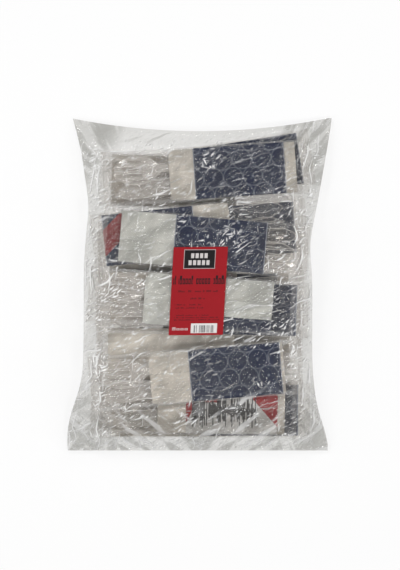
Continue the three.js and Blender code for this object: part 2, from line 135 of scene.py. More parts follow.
# Kinds of fold in film and paper, drawn as painted highlights or painted shade: how much they turn, their
# length, the room between them, how thin they are, how many of the places have one, and the draw
FOLDS = {
    "open": (0.7, 44.0, 12.0, 1.0, 0.34, 1),
    "small": (1.5, 11.0, 5.0, 0.85, 0.45, 2),
    "crossing": (1.2, 22.0, 9.0, 0.8, 0.3, 3),
    "painted_shade": (0.8, 62.0, 13.0, 1.3, 0.6, 4),
    "tiny": (2.0, 7.0, 3.6, 0.8, 0.4, 5),
    "side": (0.35, 52.0, 6.5, 1.0, 0.5, 6),
    "sleeve": (0.25, 60.0, 5.5, 0.8, 0.5, 7),
    "paper": (1.4, 34.0, 13.0, 1.6, 0.5, 8),
    "broad": (1.3, 58.0, 24.0, 2.4, 0.45, 9),
    "scribble": (2.4, 10.0, 3.0, 0.8, 0.7, 10),
    "scrawl": (2.4, 9.0, 3.4, 0.75, 0.6, 11),
    "shade_dash": (1.6, 13.0, 5.2, 0.9, 0.5, 12),
}
# How far the pattern of folds sways, and over how much of the film it fades towards a calm end
SWAY = 12.0
CALM_RUN = 34.0
# An end that no film has, for film that is crushed all along
NO_END = 99999.0
# Stretches of the bag's film, each from where a look starts to where it is full: painted highlights along the
# sides, painted shade towards the sides and ends, painted shade and highlights in the ears and the hanging
# apron, and painted highlights in the folds at the bottom
SIDE_HIGHLIGHT = (92.0, 108.0)
SIDE_SHADE = (60.0, 128.0)
END_SHADE = (130.0, 172.0)
EAR = (160.0, 196.0)
BOTTOM_FOLDS = (-118.0, -140.0)
APRON = (-116.0, -142.0)
# The point that the painted folds of light and shade in each ear fan out from
FAN = (55.0, 70.0)
# Stretches of a sleeve's film: the painted highlights on the side folds over the cutlery's heads, and the
# painted highlight along its long edges
SLEEVE_FOLDS = (-20.0, -45.0)
SLEEVE_EDGE = (22.5, 27.0)

# The print on the sachets: rings in rows, bars and their colours
RING_PITCH = 20.4
RING_RADIUS = 9.9
RING_LINE = 0.3
ROW_RISE = 0.87
DOT_SHARE = 0.13
NAVY = (0.003, 0.009, 0.038)
NAVY_LIT = (0.007, 0.015, 0.053)
RING_INK = (0.4, 0.43, 0.5)
BAND_RED = (0.29, 0.011, 0.016)
BAR_PITCH = 1.1
BAR_HALF = 19.0
BAR_FIELD = (6.0, 74.0, -22.0, 18.0)
RED_FIELD = (14.0, 34.0, 6.0, 11.0)
BAR_INK = (0.03, 0.028, 0.03)
WHITE_GROUND = (0.6, 0.585, 0.57)
WHITE_RED = (0.34, 0.016, 0.02)
# Added to a place before its remainder is taken, so that it is never below zero
FAR = 1000.0
# The napkins' embossing, and the painted shade of the crease along each
EMBOSS = 2.4
CREASE_HALF = 0.35
NAPKIN_FOLD = 4.5

# The label's print, in its own millimetres from its middle: left, right, low and high of each field
LABEL_RED = (0.335, 0.01, 0.017)
LABEL_RED_SHADE = (0.3, 0.009, 0.014)
LABEL_INK = (0.03, 0.01, 0.013)
FOOT_INK = (0.55, 0.4, 0.4)
PANEL_WHITE = (0.74, 0.72, 0.71)
STRIPE_INK = (0.07, 0.07, 0.075)
RIM_GREY = (0.4, 0.34, 0.34)
BOX_BLACK = (0.012, 0.011, 0.012)
SQUARE_WHITE = (0.6, 0.57, 0.56)
DARK_BOX_RIM = (-16.8, 15.8, 23.0, 43.0)
DARK_BOX = (-16.1, 15.1, 23.7, 42.3)
PANEL = (-5.5, 21.5, -43.5, -33.5)
PANEL_STRIPES = (-2.5, 18.5, -43.0, -35.5)
STRIPE_PITCH = 1.0
STRIPE_DRAW = 220.0
# Two rows of light squares on the dark box: their low edge, the first one's left edge, and how many
SQUARES = ((34.0, -9.4, 4), (26.8, -11.7, 5))
SQUARE_PITCH = 4.6
SQUARE_WIDTH = 3.2
SQUARE_HEIGHT = 5.0
# Rows of blocks: left, right, low, high, the room for a block and the share of gaps
LABEL_ROWS = (
    (-26.5, -23.5, 7.0, 16.0, 3.0, 0.0), (-21, -6, 7.0, 16.0, 3.0, 0.0), (-3, 12, 7.0, 16.0, 3.0, 0.0),
    (15, 27, 7.0, 16.0, 3.0, 0.0), (-21, 21, -1.2, 0.8, 1.7, 0.17), (-8, 9, -8.6, -6.8, 1.7, 0.17),
    (-23.5, 4, -14.8, -13.4, 1.3, 0.17), (-23.5, 6, -18.0, -16.6, 1.3, 0.17),
    (-23.5, 12, -25.6, -24.4, 1.2, 0.17), (-23.5, 22, -28.0, -26.8, 1.2, 0.17),
    (-23.5, 23, -30.4, -29.2, 1.2, 0.17),
)
LABEL_FOOT = (-25.5, -8.5, -40.5, -37.3, 4.2, 0.0)
# Blocks with more room than this are printed at full strength
BOLD = 2.0

# name, x, y, turn in degrees, layer, face down, sachet, napkin, how far the sachet is from the handle
# end as a share of its room, napkin over the sachet
PILE = [
    ("set_01", 1.98, 106.8, 178.0, 0, True, "navy", "warm", 0.12, False),
    ("set_02", 0.0, 29.67, 181.5, 0, True, "white", "warm", 0.12, False),
    ("set_03", -0.99, -48.46, 1.5, 0, True, "navy", "warm", 0.12, False),
    ("set_04", 0.99, -126.56, -1.5, 0, True, "navy", "warm", 0.12, False),
    ("set_05", 11.55, 117.4, 8.8, 1, False, "navy", "warm", 0.0, False),
    ("inner_set_1", 0.99, 43.12, 180.0, 1, False, "navy", "warm", 0.12, True),
    ("inner_set_2", -1.98, -15.33, 0.0, 1, False, "navy", "warm", 0.12, False),
    ("inner_set_3", 0.99, -73.96, 180.0, 1, False, "white", "warm", 0.12, True),
    ("inner_set_4", 2.97, -132.5, 180.0, 1, False, "navy", "warm", 0.12, True),
    ("set_06", 6.05, 115.69, 4.0, 2, False, "navy", "warm", 0.12, False),
    ("inner_set_5", 4.95, 53.0, 4.0, 2, False, "navy", "warm", 0.0, False),
    ("inner_set_6", 1.98, -13.85, 180.0, 2, False, "navy", "warm", 0.12, True),
    ("inner_set_7", -0.99, -72.48, 180.0, 2, False, "navy", "warm", 0.12, True),
    ("inner_set_8", 8.03, -131.12, 0.0, 2, False, "navy", "warm", 0.0, False),
    ("set_07", -5.0, 54.9, 186.0, 3, False, "banded", "warm", 0.0, False),
    ("set_08", 6.05, -24.72, -1.5, 3, False, "navy", "warm", 0.0, False),
    ("set_09", -6.05, -128.05, -1.0, 3, False, "white", "warm", 0.08, False),
    ("set_10", 6.05, 42.52, 175.0, 4, False, "navy", "cool", 0.66, False),
    ("set_11", -8.03, -17.79, -4.5, 4, False, "navy", "cool", 0.12, True),
    ("set_12", -6.82, -94.43, 5.0, 4, False, "navy", "warm", 0.03, False),
]

# How far the ends of a set's napkin are folded back or let out
FOLDED_BACK = {"set_10": 6.0, "set_11": 11.0}
LET_OUT = {"set_11": 12.0, "set_12": 7.0}
# How much of a napkin's front half is tucked under towards its handle end, where the tuck starts and
# where it is full
TUCKED = {"set_11": 0.5}
TUCK_START = 8.0
TUCK_FULL = 30.0
# Sets whose cutlery is seen against a dark sachet
BARE = ("set_07", "set_10")


def level_of(layer):
    return FLOOR_LEVEL + layer * (SET_HEIGHT + LAYER_GAP)


# Noise and crumple

def chance(cx, cy, seed):
    """An even number from 0 to 1 for each lattice cell."""
    value = np.sin(cx * 127.1 + cy * 311.7 + seed * 74.7) * 43758.5453
    return value - np.floor(value)


def domes(x, y, cell, seed):
    """The upper skin of tilted domes on a jittered lattice: crushed film between its creases."""
    gx, gy = x / cell, y / cell
    ix, iy = np.floor(gx), np.floor(gy)
    best = np.full(x.shape, -9.0)
    for dx in (-1, 0, 1):
        for dy in (-1, 0, 1):
            cx, cy = ix + dx, iy + dy
            ox = gx - cx - chance(cx, cy, seed)
            oy = gy - cy - chance(cx, cy, seed + 1)
            turn = 2 * math.pi * chance(cx, cy, seed + 2)
            lift = 0.3 * chance(cx, cy, seed + 3)
            tilt = 0.55 * (np.cos(turn) * ox + np.sin(turn) * oy)
            best = np.maximum(best, lift + tilt - 0.6 * (ox * ox + oy * oy))
    return best * cell


def crumple(x, y, cell, slope, seed):
    """Crushed film with ridges as well as valleys."""
    warp = 0.35 * cell
    wx = x + warp * np.sin(y / (1.7 * cell) + seed)
    wy = y + warp * np.sin(x / (1.9 * cell) + 2 * seed)
    return slope * (domes(wx, wy, cell, seed) - domes(wy + 31.0, wx - 17.0, cell * 1.13, seed + 9)) * 0.7


def creases(x, y, count, seed, spread, lean, lean_spread, length, width, height):
    """Straight sharp folds about the middle, each fading out at its ends."""
    rng = np.random.default_rng(seed)
    total = np.zeros(x.shape)
    for _ in range(count):
        px = spread[0] * rng.uniform(-1, 1)
        py = spread[1] * rng.uniform(-1, 1)
        turn = math.radians(rng.normal(lean, lean_spread))
        half = length * rng.uniform(0.35, 1.0)
        wide = width * rng.uniform(0.6, 1.4)
        high = height * rng.uniform(0.4, 1.0)
        run = (x - px) * math.cos(turn) + (y - py) * math.sin(turn)
        off = (y - py) * math.cos(turn) - (x - px) * math.sin(turn)
        fade = np.clip(1 - (run / half) ** 2, 0, 1)
        total += high * fade * np.clip(1 - np.abs(off) / wide, 0, 1)
    return total


# Mesh helpers

def grid_faces(columns, rows, flip=False):
    """Quads over points counted column by column."""
    i, j = np.meshgrid(np.arange(columns - 1), np.arange(rows - 1), indexing="ij")
    a = (i * rows + j).ravel()
    quads = np.stack([a, a + rows, a + rows + 1, a + 1], axis=1)
    return quads[:, ::-1] if flip else quads


class Soup:
    """Points, faces, material numbers and flat places that are gathered into one mesh."""

    def __init__(self):
        self.points, self.flats, self.faces, self.numbers = [], [], [], []
        self.count = 0

    def add(self, points, faces, number=0, flat=None):
        points = np.asarray(points, float)
        self.points.append(points)
        self.flats.append(points[:, :2] if flat is None else np.asarray(flat, float))
        for face in faces:
            self.faces.append([self.count + int(k) for k in face])
            self.numbers.append(number)
        self.count += len(points)

    def grid(self, x, y, z, number=0, flip=False):
        points = np.stack([x.ravel(), y.ravel(), z.ravel()], axis=1)
        self.add(points, grid_faces(x.shape[0], x.shape[1], flip), number)

    def move(self, place):
        self.points = [place(points) for points in self.points]

    def merge(self, other):
        for face, number in zip(other.faces, other.numbers):
            self.faces.append([self.count + k for k in face])
            self.numbers.append(number)
        self.points += other.points
        self.flats += other.flats
        self.count += other.count

    def make(self, name, materials):
        mesh = bpy.data.meshes.new(name)
        points = np.concatenate(self.points) * MM
        flats = np.concatenate(self.flats) * MM
        mesh.from_pydata(points.tolist(), [], self.faces)
        for material in materials:
            mesh.materials.append(material)
        mesh.polygons.foreach_set("material_index", self.numbers)
        mesh.polygons.foreach_set("use_smooth", [True] * len(self.faces))
        layer = mesh.uv_layers.new(name="UVMap")
        loops = np.empty(len(mesh.loops), int)
        mesh.loops.foreach_get("vertex_index", loops)
        layer.data.foreach_set("uv", (flats[loops] * UV_SCALE).ravel())
        mesh.update()
        obj = bpy.data.objects.new(name, mesh)
        bpy.context.scene.collection.objects.link(obj)
        return obj


def keep(obj, slot, *nodes):
    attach(obj, "root")
    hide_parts(*nodes)


# Materials

class Nodes:
    """Short names for building a node tree."""

    def __init__(self, name):
        self.material = bpy.data.materials.new(name)
        self.material.use_nodes = True
        self.tree = self.material.node_tree
        self.tree.nodes.clear()
        self.out = self.new("ShaderNodeOutputMaterial")

    def new(self, kind, **settings):
        node = self.tree.nodes.new(kind)
        for key, value in settings.items():
            setattr(node, key, value)
        return node

    def put(self, socket, value):
        if isinstance(value, bpy.types.NodeSocket):
            self.tree.links.new(value, socket)
        elif isinstance(value, tuple):
            socket.default_value = (*value, 1.0) if len(value) == 3 else value
        else:
            socket.default_value = value

    def math(self, operation, a, b=0.0):
        node = self.new("ShaderNodeMath", operation=operation)
        self.put(node.inputs[0], a)
        self.put(node.inputs[1], b)
        return node.outputs[0]

    def add(self, a, b):
        return self.math("ADD", a, b)

    def sub(self, a, b):
        return self.math("SUBTRACT", a, b)

    def mul(self, a, b):
        return self.math("MULTIPLY", a, b)

    def over(self, a, b):
        return self.math("DIVIDE", a, b)

    def most(self, a, b):
        return self.math("MAXIMUM", a, b)

    def least(self, a, b):
        return self.math("MINIMUM", a, b)

    def under(self, a, b):
        return self.math("LESS_THAN", a, b)

    def above(self, a, b):
        return self.math("GREATER_THAN", a, b)

    def power(self, a, b):
        return self.math("POWER", a, b)

    def size(self, a):
        return self.math("ABSOLUTE", a)

    def floor(self, a):
        return self.math("FLOOR", a)

    def part(self, a):
        return self.math("FRACT", a)

    def mix(self, share, a, b):
        node = self.new("ShaderNodeMix", data_type="RGBA")
        self.put(node.inputs["Factor"], share)
        self.put(node.inputs[6], a)
        self.put(node.inputs[7], b)
        return node.outputs[2]

    def blend(self, share, a, b):
        node = self.new("ShaderNodeMixShader")
        self.put(node.inputs[0], share)
        self.put(node.inputs[1], a)
        self.put(node.inputs[2], b)
        return node.outputs[0]

    def shader(self, kind, **inputs):
        node = self.new(kind)
        for key, value in inputs.items():
            self.put(node.inputs[key.replace("_", " ")], value)
        return node.outputs[0]

    def flat(self):
        """Places on the piece as it lies flat, in millimetres from its set's middle."""
        coords = self.new("ShaderNodeTexCoord")
        split = self.new("ShaderNodeSeparateXYZ")
        self.put(split.inputs[0], coords.outputs["UV"])
        scale = 1.0 / (MM * UV_SCALE)
        return self.mul(split.outputs[0], scale), self.mul(split.outputs[1], scale)

    def noise(self, vector, scale, detail, distortion=0.0):
        node = self.new("ShaderNodeTexNoise")
        self.put(node.inputs["Vector"], vector)
        self.put(node.inputs["Scale"], scale)
        self.put(node.inputs["Detail"], detail)
        self.put(node.inputs["Distortion"], distortion)
        return node

    def mottle(self, scale):
        coords = self.new("ShaderNodeTexCoord")
        return self.noise(coords.outputs["Object"], scale, 3.0).outputs[0]

    def chance(self, number):
        """An even value from 0 to 1 for each number."""
        node = self.new("ShaderNodeTexWhiteNoise", noise_dimensions="1D")
        self.put(node.inputs["W"], number)
        return node.outputs["Value"]

    def ramp(self, value, low, high):
        """From 0 at the low value to 1 at the high one, eased."""
        node = self.new("ShaderNodeMapRange", interpolation_type="SMOOTHSTEP")
        self.put(node.inputs["Value"], value)
        self.put(node.inputs["From Min"], low)
        self.put(node.inputs["From Max"], high)
        return node.outputs[0]

    def bump(self, height, strength, distance):
        return self.shader("ShaderNodeBump", Height=height, Strength=strength, Distance=distance)

    def finish(self, shader):
        self.put(self.out.inputs[0], shader)
        return self.material


def joined(n, x, y, z=0.0):
    node = n.new("ShaderNodeCombineXYZ")
    for socket, value in zip(node.inputs, (x, y, z)):
        n.put(socket, value)
    return node.outputs[0]


def slanted(n, x, y, lean, long, wide):
    """Places counted along a lean and across it, in steps of the given sizes."""
    c, s = math.cos(math.radians(lean)), math.sin(math.radians(lean))
    u = n.add(n.mul(x, c / long), n.mul(y, s / long))
    v = n.sub(n.mul(y, c / wide), n.mul(x, s / wide))
    return u, v


def strokes(n, x, y, lean, spread, long, wide, thin, share, seed):
    """Short curved folds, one in some of the cells of a slanted lattice, each fading at its ends."""
    u, v = slanted(n, x, y, lean, long, wide)
    u = n.add(u, seed * 7.31)
    v = n.add(v, seed * 3.17)
    row = n.floor(v)
    u = n.add(u, n.chance(row))
    cell = n.new("ShaderNodeTexWhiteNoise", noise_dimensions="2D")
    n.put(cell.inputs["Vector"], joined(n, n.floor(u), row))
    luck = n.new("ShaderNodeSeparateXYZ")
    n.put(luck.inputs[0], cell.outputs["Color"])
    du = n.mul(n.sub(n.part(u), 0.5), long)
    dv = n.mul(n.sub(n.part(v), 0.5), wide)
    turn = n.mul(n.sub(luck.outputs[0], 0.5), spread)
    bend = n.mul(n.sub(luck.outputs[1], 0.5), 0.7 / long)
    path = n.mul(du, n.add(turn, n.mul(du, bend)))
    off = n.size(n.sub(dv, path))
    half = n.mul(n.add(n.mul(luck.outputs[2], 0.7), 0.3), long * 0.48)
    fade = n.most(n.sub(1.0, n.power(n.over(du, half), 2.0)), 0.0)
    fat = n.add(n.mul(luck.outputs[1], 1.2 * thin), 0.35 * thin)
    width = n.add(n.mul(fade, fat), 0.01)
    line = n.most(n.sub(1.0, n.over(off, width)), 0.0)
    line = n.least(n.mul(line, 1.8), 1.0)
    on = n.under(cell.outputs["Value"], share)
    strength = n.add(n.mul(luck.outputs[0], 0.8), 0.5)
    return n.mul(n.mul(line, n.math("SQRT", fade)), n.mul(on, strength))


def patches(n, vector, scale, low, high):
    """Soft patches from 0 to 1."""
    return n.ramp(n.noise(vector, scale, 2.0).outputs[0], low, high)


def folds(n, x, y, lean, kind):
    return strokes(n, x, y, lean, *FOLDS[kind])


def in_oval(n, x, y, cx, cy, wide, tall):
    """0 at an oval's middle and 1 on its rim, growing with the square of the distance."""
    off_x = n.power(n.over(n.sub(x, cx), wide), 2.0)
    off_y = n.power(n.over(n.sub(y, cy), tall), 2.0)
    return n.add(off_x, off_y)


def calm_places(n, x, y):
    """1 where the bag's film has its full painted highlights and painted fold shade, and less where it lies
    smooth over a sachet.
    """
    busy = 1.0
    for cx, cy, wide, tall, share in CALM:
        spot = n.mul(n.ramp(in_oval(n, x, y, cx, cy, wide, tall), 1.3, 0.6), share)
        busy = n.mul(busy, n.sub(1.0, spot))
    return busy


def sparkle(n, x, y, sx, sy):
    """Painted highlights, scribbled like creases, at the places where the film is crushed the most."""
    scribble = n.most(folds(n, x, y, 30.0, "scribble"), folds(n, x, y, 110.0, "scrawl"))
    spark = 0.0
    for cx, cy, wide, tall in SPARKS:
        oval = in_oval(n, sx, sy, cx + SWAY / 2, cy + SWAY / 2, wide, tall)
        spark = n.most(spark, n.ramp(oval, 1.4, 0.2))
    return n.mul(scribble, n.mul(spark, 1.2))


def loose_end_light_and_shade(n, x, y, across, up):
    """Painted shade and painted highlights in folds that fan out over the bag's ears and hang at its lower
    end.
    """
    reach = n.add(across, n.mul(up, 0.6))
    ear = n.ramp(reach, *EAR)
    angle = n.math("ARCTAN2", n.sub(up, FAN[1]), n.sub(across, FAN[0]))
    corner = n.add(n.mul(n.math("SIGN", x), 3.3), n.mul(n.math("SIGN", y), 7.7))
    fan = joined(n, n.mul(angle, 10.0), n.over(reach, 70.0), corner)
    apron = n.ramp(y, *APRON)
    drape = joined(n, *slanted(n, across, y, 37.0, 60.0, 13.0))
    dark = n.mul(patches(n, fan, 1.0, 0.36, 0.56), ear)
    dark = n.most(dark, n.mul(patches(n, drape, 1.0, 0.44, 0.56), apron))
    light = n.mul(patches(n, fan, 1.7, 0.6, 0.72), ear)
    light = n.most(light, n.mul(patches(n, drape, 1.3, 0.54, 0.64), apron))
    return dark, light


def film_shader(n, x, y, lean, loose, tint, shade, edge, painted_shade, haze_and_highlight):
    """Clear film with a shine on its crushed facets, painted shade in its folds and towards its edges, and a
    light haze with painted highlights on its creases.
    """
    # Where painted shade is laid on, the film's clear colour goes towards its darker shade colour
    clear = n.shader("ShaderNodeBsdfTransparent", Color=n.mix(painted_shade, tint, shade))
    grain = n.noise(joined(n, *slanted(n, x, y, lean, 15.0, 5.0)), 1.0, 1.0, 0.8)
    ridge = n.size(n.sub(grain.outputs[0], 0.5))
    height = n.mul(ridge, n.add(n.mul(loose, 0.85), 0.15))
    normal = n.bump(height, 1.0, 0.009)
    shine = n.shader("ShaderNodeBsdfGlossy", Color=(1.0, 1.0, 1.0), Roughness=0.1, Normal=normal)
    facing = n.new("ShaderNodeLayerWeight")
    n.put(facing.inputs["Normal"], normal)
    steep = n.power(facing.outputs["Facing"], 3.0)
    gloss = n.add(n.mul(steep, edge), 0.03)
    # The milky diffuse part carries the film's light haze and its painted highlights
    milk = n.shader("ShaderNodeBsdfDiffuse", Color=(0.95, 0.95, 0.95))
    return n.blend(haze_and_highlight, n.blend(gloss, clear, shine), milk)


def film_material(name, tint, shade, haze, streaks, lean, end, edge, bag):
    """Film whose painted highlights and painted shade lie in folds that lean one way, calmer towards one end,
    with more kinds of fold on the bag.
    """
    n = Nodes(name)
    x, y = n.flat()
    place = joined(n, x, y)
    sway = n.new("ShaderNodeSeparateXYZ")
    n.put(sway.inputs[0], n.noise(place, 0.045, 1.0).outputs["Color"])
    sx = n.add(x, n.mul(sway.outputs[0], SWAY))
    sy = n.add(y, n.mul(sway.outputs[1], SWAY))
    loose = n.ramp(y, end, end - CALM_RUN)
    crowd = n.mul(n.ramp(sway.outputs[2], 0.36, 0.56), loose)
    thick = n.mul(patches(n, place, 0.04, 0.44, 0.56), loose)
    # Painted highlights along the folds
    open_fold = folds(n, sx, sy, lean, "open")
    small_fold = folds(n, sx, sy, lean + 6.0, "small")
    # Painted shade: long dark folds and broad patches darken the film's clear colour
    shaded_fold = folds(n, sx, sy, lean - 6.0, "painted_shade")
    broad = patches(n, joined(n, *slanted(n, x, y, lean, 60.0, 18.0)), 1.0, 0.35, 0.7)
    painted_shade = n.most(n.mul(shaded_fold, 0.75), n.mul(broad, 0.2))
    if bag:
        across, up = n.size(x), n.size(y)
        busy = calm_places(n, x, y)
        open_fold = n.mul(n.most(open_fold, folds(n, sx, sy, lean + 68.0, "crossing")), busy)
        small_fold = n.mul(n.most(small_fold, folds(n, x, y, lean + 30.0, "tiny")), busy)
        # Painted highlights on the folds along the bag's sides, at the bottom and in the crushed places
        hem = n.mul(folds(n, sx, sy, 86.0, "side"), n.ramp(across, *SIDE_HIGHLIGHT))
        ruck = n.most(patches(n, place, 0.022, 0.5, 0.6), n.ramp(y, *BOTTOM_FOLDS))
        ruck = n.mul(n.mul(ruck, loose), n.mul(busy, 0.75))
        hem = n.most(hem, n.mul(folds(n, sx, sy, lean + 4.0, "broad"), ruck))
        hem = n.most(hem, sparkle(n, x, y, sx, sy))
        # Painted shade and highlights over the ears and the hanging apron
        dark, light = loose_end_light_and_shade(n, x, y, across, up)
        # Painted shade in short dark dashes and over the ears
        shade_dash = n.mul(n.mul(folds(n, sx, sy, lean + 12.0, "shade_dash"), thick), n.mul(busy, 0.95))
        painted_shade = n.most(n.most(painted_shade, shade_dash), n.mul(dark, 0.9))
        # Painted shade towards the bag's sides and its ends
        painted_shade = n.most(painted_shade, n.mul(n.ramp(across, *SIDE_SHADE), 0.45))
        painted_shade = n.most(painted_shade, n.mul(n.ramp(up, *END_SHADE), 0.35))
    else:
        # Painted highlights on the sleeve's side folds and along its long edges
        hem = n.mul(folds(n, sx, sy, 4.0, "sleeve"), n.ramp(x, *SLEEVE_FOLDS))
        own_y = n.sub(n.math("MODULO", n.add(y, SHEET / 2), SHEET), SHEET / 2)
        light = n.ramp(n.size(own_y), *SLEEVE_EDGE)
    # All the painted highlights, laid on through the milky diffuse part
    bright = n.most(n.mul(open_fold, crowd), n.mul(small_fold, thick))
    bright = n.most(bright, n.mul(hem, 0.8))
    bright = n.least(n.most(bright, n.mul(light, 0.3)), 1.0)
    haze_and_highlight = n.add(haze, n.mul(bright, streaks))
    return n.finish(film_shader(n, x, y, lean, loose, tint, shade, edge, painted_shade, haze_and_highlight))


def clear_material(name, tint, gloss, roughness, haze):
    n = Nodes(name)
    clear = n.shader("ShaderNodeBsdfTransparent", Color=tint)
    shine = n.shader("ShaderNodeBsdfGlossy", Color=(1.0, 1.0, 1.0), Roughness=roughness)
    milk = n.shader("ShaderNodeBsdfDiffuse", Color=(0.97, 0.945, 0.915))
    return n.finish(n.blend(haze, n.blend(gloss, clear, shine), milk))


def paper_material(name, colour, fold):
    """Embossed paper with painted light and shade on its dents, painted shade in its rumples, and painted
    shade along one crease.
    """
    n = Nodes(name)
    x, y = n.flat()
    emboss = n.mul(n.math("SINE", n.mul(x, EMBOSS)), n.math("SINE", n.mul(y, EMBOSS)))
    # Painted shade along the crease, painted light and shade on the dents, and painted shade in the rumples
    crease_shade = n.under(n.size(n.sub(y, fold)), CREASE_HALF)
    dent_light_and_shade = patches(n, joined(n, *slanted(n, x, y, 55.0, 40.0, 20.0)), 1.0, 0.38, 0.62)
    tone = n.mix(n.mul(dent_light_and_shade, 0.75), toned(colour, 1.06), toned(colour, 0.66))
    rumple_shade = folds(n, x, y, 58.0, "paper")
    tone = n.mix(n.mul(rumple_shade, 0.35), tone, toned(colour, 0.55))
    tone = n.mix(n.mul(crease_shade, 0.35), tone, toned(colour, 0.45))
    shader = n.shader("ShaderNodeBsdfPrincipled", Base_Color=tone, Roughness=0.9,
                      Normal=n.bump(emboss, 0.25, 0.0004))
    return n.finish(shader)


def toned(colour, share):
    return tuple(c * share for c in colour)


def ring_print(n, x, y, pitch, radius, line):
    """Thin rings in staggered rows, so close that they touch, each with a dot in it."""
    rise = pitch * ROW_RISE
    rows = []
    for shift_x, shift_y in ((0.0, 0.0), (pitch / 2, rise)):
        px = n.sub(n.math("MODULO", n.add(x, FAR + shift_x), pitch), pitch / 2)
        py = n.sub(n.math("MODULO", n.add(y, FAR + shift_y), 2 * rise), rise)
        away = n.math("SQRT", n.add(n.power(px, 2.0), n.power(py, 2.0)))
        ring = n.under(n.size(n.sub(away, radius)), line)
        dot = n.under(away, radius * DOT_SHARE)
        rows.append(n.most(ring, dot))
    return n.most(*rows)


def foil_material(name, base):
    n = Nodes(name)
    shader = n.shader("ShaderNodeBsdfPrincipled", Base_Color=base(n), Roughness=0.32,
                      Normal=n.bump(n.mottle(160.0), 0.25, 0.001))
    return n.finish(shader)


def navy_print(n):
    """A dark ground with thin rings and a lighter hem at both ends."""
    x, y = n.flat()
    lines = ring_print(n, x, y, RING_PITCH, RING_RADIUS, RING_LINE)
    ground = n.mix(n.mottle(30.0), NAVY, NAVY_LIT)
    tone = n.mix(n.mul(lines, 0.36), ground, RING_INK)
    from_middle = n.size(n.sub(x, SACHET_LENGTH / 2))
    hem = n.above(from_middle, SACHET_LENGTH / 2 - HEM)
    return n.mix(n.mul(hem, 0.55), tone, RING_INK)


def banded_print(n):
    """The ringed ground with a slanted red band near one end."""
    x, y = n.flat()
    c, s = math.cos(math.radians(BAND["turn"])), math.sin(math.radians(BAND["turn"]))
    off = n.sub(n.mul(y, c), n.mul(x, s))
    off = n.sub(off, BAND["y"] * c - BAND["x"] * s)
    band = n.under(n.size(off), BAND["half"])
    band = n.mul(band, n.above(x, BAND["from"]))
    return n.mix(band, navy_print(n), BAND_RED)


def white_print(n):
    """A light ground with red corners and uneven dark upright bars."""
    x, y = n.flat()
    far_corner = n.above(n.add(x, n.mul(y, 0.9)), 78.0)
    near_corner = n.under(n.sub(x, n.mul(y, 0.5)), 8.0)
    red = n.most(far_corner, near_corner)
    tall = n.chance(n.floor(n.over(x, BAR_PITCH)))
    height = n.mul(n.power(tall, 0.8), BAR_HALF)
    from_row = n.size(n.add(y, 2.0))
    dark = n.mul(n.under(from_row, height), box_field(n, x, y, *BAR_FIELD))
    red = n.most(red, box_field(n, x, y, *RED_FIELD))
    tone = n.mix(red, WHITE_GROUND, WHITE_RED)
    return n.mix(n.mul(dark, 0.92), tone, BAR_INK)


def box_field(n, x, y, left, right, low, high):
    wide = n.under(n.size(n.sub(x, (left + right) / 2)), (right - left) / 2)
    tall = n.under(n.size(n.sub(y, (low + high) / 2)), (high - low) / 2)
    return n.mul(wide, tall)


def marks(n, x, y, left, right, low, high, word, gaps, seed):
    """A row of uneven small blocks with gaps, like a line of words from far off."""
    height = high - low
    count = n.over(n.add(x, 100.0 + seed), word)
    share = n.chance(n.add(n.floor(count), seed * 31.0))
    off = n.size(n.sub(n.part(count), 0.5))
    solid = n.mul(n.under(off, 0.4), n.above(share, gaps))
    rise = n.mul(n.above(share, 0.62), height * 0.32)
    under = n.under(y, n.add(rise, low + height * 0.68))
    hole_x = n.under(off, 0.11)
    hole_y = n.under(n.size(n.sub(y, low + height * 0.33)), height * 0.2)
    whole = n.sub(1.0, n.mul(hole_x, hole_y))
    mark = n.mul(n.mul(solid, under), whole)
    return n.mul(mark, box_field(n, x, y, left, right, low, high))


def label_print(n):
    """Plain fields: a dark box with a light rim, rows of small blocks, and a striped panel."""
    x, y = n.flat()
    tone = n.mix(n.mottle(60.0), LABEL_RED, LABEL_RED_SHADE)
    for seed, row in enumerate(LABEL_ROWS):
        strength = 1.0 if row[4] > BOLD else 0.75
        tone = n.mix(n.mul(marks(n, x, y, *row, seed), strength), tone, LABEL_INK)
    small = marks(n, x, y, *LABEL_FOOT, seed=9)
    tone = n.mix(small, tone, FOOT_INK)
    tone = n.mix(box_field(n, x, y, *PANEL), tone, PANEL_WHITE)
    step = n.over(n.add(x, STRIPE_DRAW), STRIPE_PITCH)
    stripes = n.under(n.part(step), n.mul(n.chance(n.floor(step)), 0.9))
    tone = n.mix(n.mul(stripes, box_field(n, x, y, *PANEL_STRIPES)), tone, STRIPE_INK)
    tone = n.mix(box_field(n, x, y, *DARK_BOX_RIM), tone, RIM_GREY)
    tone = n.mix(box_field(n, x, y, *DARK_BOX), tone, BOX_BLACK)
    for low, first, count in SQUARES:
        for k in range(count):
            left = first + SQUARE_PITCH * k
            square = box_field(n, x, y, left, left + SQUARE_WIDTH, low, low + SQUARE_HEIGHT)
            tone = n.mix(square, tone, SQUARE_WHITE)
    return tone


def label_material():
    n = Nodes("label_paper")
    shader = n.shader("ShaderNodeBsdfPrincipled", Base_Color=label_print(n), Roughness=0.5,
                      Specular_IOR_Level=0.15)
    return n.finish(shader)


